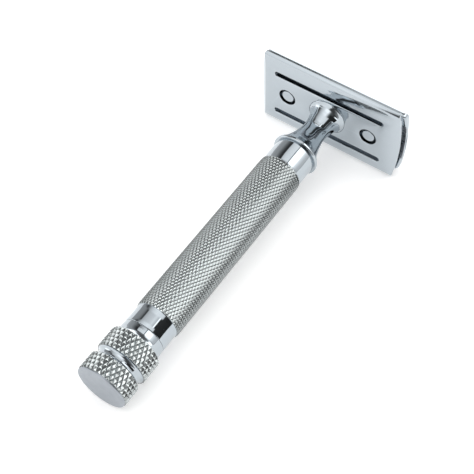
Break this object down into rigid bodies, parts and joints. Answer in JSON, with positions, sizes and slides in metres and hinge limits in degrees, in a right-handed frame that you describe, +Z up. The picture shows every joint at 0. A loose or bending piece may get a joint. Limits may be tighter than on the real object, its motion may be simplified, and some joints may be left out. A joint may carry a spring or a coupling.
{
  "type": "safety razor",
  "caption": "Double-edge safety razor: knurled handle with a turning end knob, slim neck, slotted guard plate, bowed blade and rounded cap.",
  "frame": {"origin": "on the floor plane, under the middle of the razor's bounding box as it lies at rest on the knob's lower edge and on one long edge of the head", "axes": "+X runs along the handle from the knob to the cap, +Z is up and Y runs along the head; the handle climbs 3.324 degrees towards the head"},
  "size_m": [0.1018, 0.0436, 0.0249],
  "materials": {
    "polished_chrome": "bright plated chrome with fine handling scratches",
    "knurled_chrome": "bright plated chrome over diamond knurling, duller in the grooves",
    "satin_chrome": "satin faced chrome, finely turned",
    "blade_steel": "cold-rolled strip with ground and honed edges",
    "steel": "turned steel",
    "spring_steel": "tempered spring steel",
    "brass": "turned brass",
    "nylon": "natural moulded nylon"
  },
  "bodies": {
    "handle": {"handle_tube": "knurled_chrome", "neck": "polished_chrome", "base_plate": "polished_chrome", "lower_bush": "brass"},
    "knob": {"knob": "knurled_chrome", "knob_end_cap": "satin_chrome", "lock_nut": "steel", "drive_rod": "steel", "socket": "brass", "cross_pin": "steel", "retaining_ring": "spring_steel", "wave_washer": "spring_steel", "thrust_washer": "nylon"},
    "cap": {"cap": "polished_chrome", "cap_stud": "steel", "locating_pin_left": "polished_chrome", "locating_pin_right": "polished_chrome"},
    "blade": {"blade": "blade_steel"}
  },
  "joints": [
    {"name": "knob_turn", "type": "hinge", "parent": "handle", "child": "knob", "pos_m": [-0.0505, 0, 0.00679], "axis": [-0.9983, 0, -0.058], "range_deg": [0, 2790]},
    {"name": "cap_lift", "type": "slide", "parent": "handle", "child": "cap", "axis": [0.9983, 0, 0.058], "range_m": [0, 0.00543]},
    {"name": "blade_lift", "type": "slide", "parent": "handle", "child": "blade", "axis": [0.9983, 0, 0.058], "range_m": [0, 0.00271]}
  ],
  "couplings": [
    {"joint": "cap_lift", "follows": "knob_turn", "m_per_rad": 0.0001114},
    {"joint": "blade_lift", "follows": "knob_turn", "m_per_rad": 0.0000557}
  ]
}
